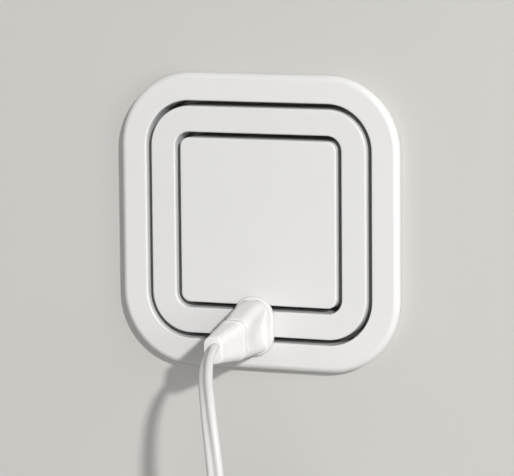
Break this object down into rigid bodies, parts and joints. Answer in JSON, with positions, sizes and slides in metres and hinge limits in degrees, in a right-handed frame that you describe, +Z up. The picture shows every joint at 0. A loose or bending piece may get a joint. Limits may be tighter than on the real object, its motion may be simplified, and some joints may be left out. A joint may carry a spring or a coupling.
{
  "type": "wall outlet with plug and lead",
  "caption": "Square wall outlet plate with concentric rounded-square slots and a two-blade plug in it, its flat twin cord hanging down to a tied hank.",
  "frame": {"origin": "centre of the plate on the wall plane, where the steel mounting frame bears on the wall", "axes": "+Z up, +X to the right seen from the room, +Y into the wall; the plate faces -Y"},
  "size_m": [0.1194, 0.1201, 0.3448],
  "materials": {
    "face_plastic": "smooth satin",
    "housing_plastic": "fine matt moulding",
    "zinc_steel": "zinc plated",
    "contact_brass": "bright strip",
    "plug_pvc": "glossy moulded PVC",
    "cord_pvc": "satin flexible PVC",
    "inner_plastic": "plain moulding",
    "nickel": "nickel plated"
  },
  "bodies": {
    "outlet": {"outer_frame": "face_plastic", "middle_ring": "face_plastic", "centre_panel": "face_plastic", "front_housing": "housing_plastic", "rear_cover": "housing_plastic", "live_guide_outer": "housing_plastic", "live_guide_inner": "housing_plastic", "neutral_guide_outer": "housing_plastic", "neutral_guide_inner": "housing_plastic", "mounting_frame": "zinc_steel", "wall_screw_right": "zinc_steel", "wall_screw_top": "zinc_steel", "wall_screw_left": "zinc_steel", "wall_screw_bottom": "zinc_steel", "cover_screw_1": "zinc_steel", "cover_screw_2": "zinc_steel", "cover_screw_3": "zinc_steel", "cover_screw_4": "zinc_steel", "live_clamp_screw": "zinc_steel", "neutral_clamp_screw": "zinc_steel", "live_rail": "contact_brass", "live_link": "contact_brass", "live_terminal": "contact_brass", "neutral_rail": "contact_brass", "neutral_link": "contact_brass", "neutral_terminal": "contact_brass"},
    "plug": {"plug_shell": "plug_pvc", "connector_body": "plug_pvc", "connector_relief": "plug_pvc", "strain_relief": "cord_pvc", "cord": "cord_pvc", "cord_tail": "cord_pvc", "cord_hank": "cord_pvc", "plug_insert": "inner_plastic", "plug_wire_live": "inner_plastic", "plug_wire_neutral": "inner_plastic", "hank_tie": "inner_plastic", "blade_live": "nickel", "blade_neutral": "nickel", "connector_contact_live": "nickel", "connector_contact_neutral": "nickel"}
  },
  "joints": [
    {"name": "plug_pull", "type": "slide", "parent": "outlet", "child": "plug", "axis": [0, -1, 0], "range_m": [0, 0.025]}
  ]
}
